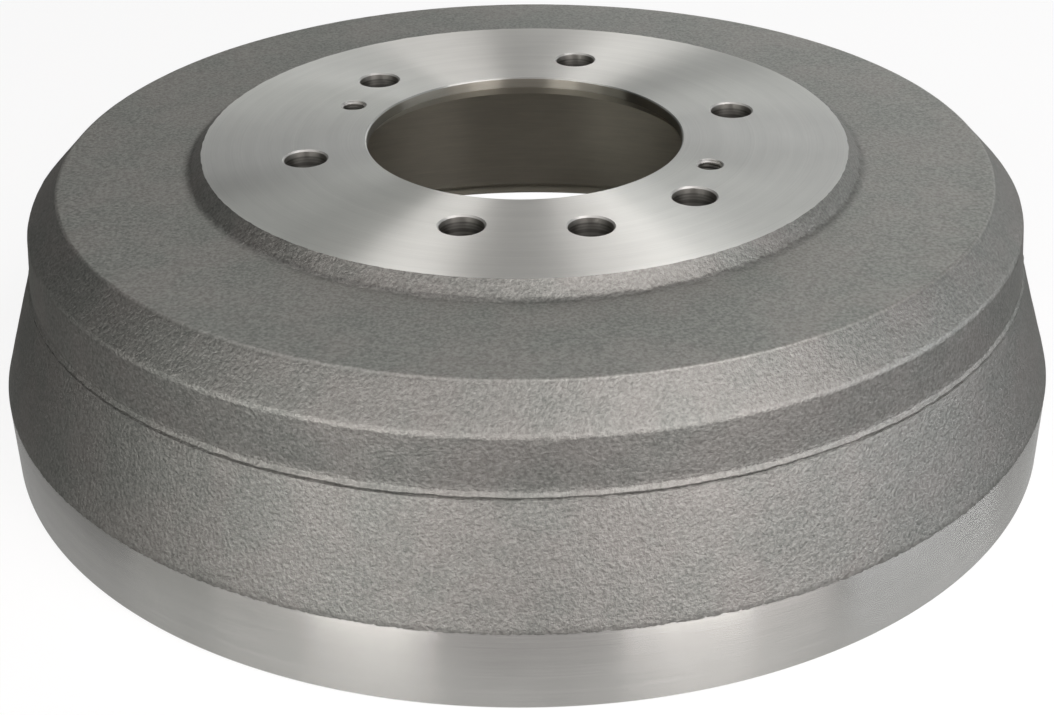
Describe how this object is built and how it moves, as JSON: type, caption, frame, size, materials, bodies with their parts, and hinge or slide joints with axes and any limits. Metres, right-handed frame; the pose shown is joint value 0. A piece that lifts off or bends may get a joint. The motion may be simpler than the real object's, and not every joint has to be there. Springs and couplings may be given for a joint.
{
  "type": "brake drum",
  "caption": "Deep cast iron brake drum with a turned hub face, pilot bore and stud holes, a chamfered shoulder, a flared skirt and a turned rim band.",
  "frame": {"origin": "centre of the open rim's end face, on the drum's axis", "axes": "+Z along the axle from the open mouth to the wheel face; the first stud hole lies 15 degrees from +X towards +Y"},
  "size_m": [0.337, 0.337, 0.09],
  "materials": {
    "grey_iron": "rough cast skin, with the faces that locate and rub turned bright"
  },
  "bodies": {
    "root": {"brake_drum": "grey_iron"}
  },
  "joints": []
}
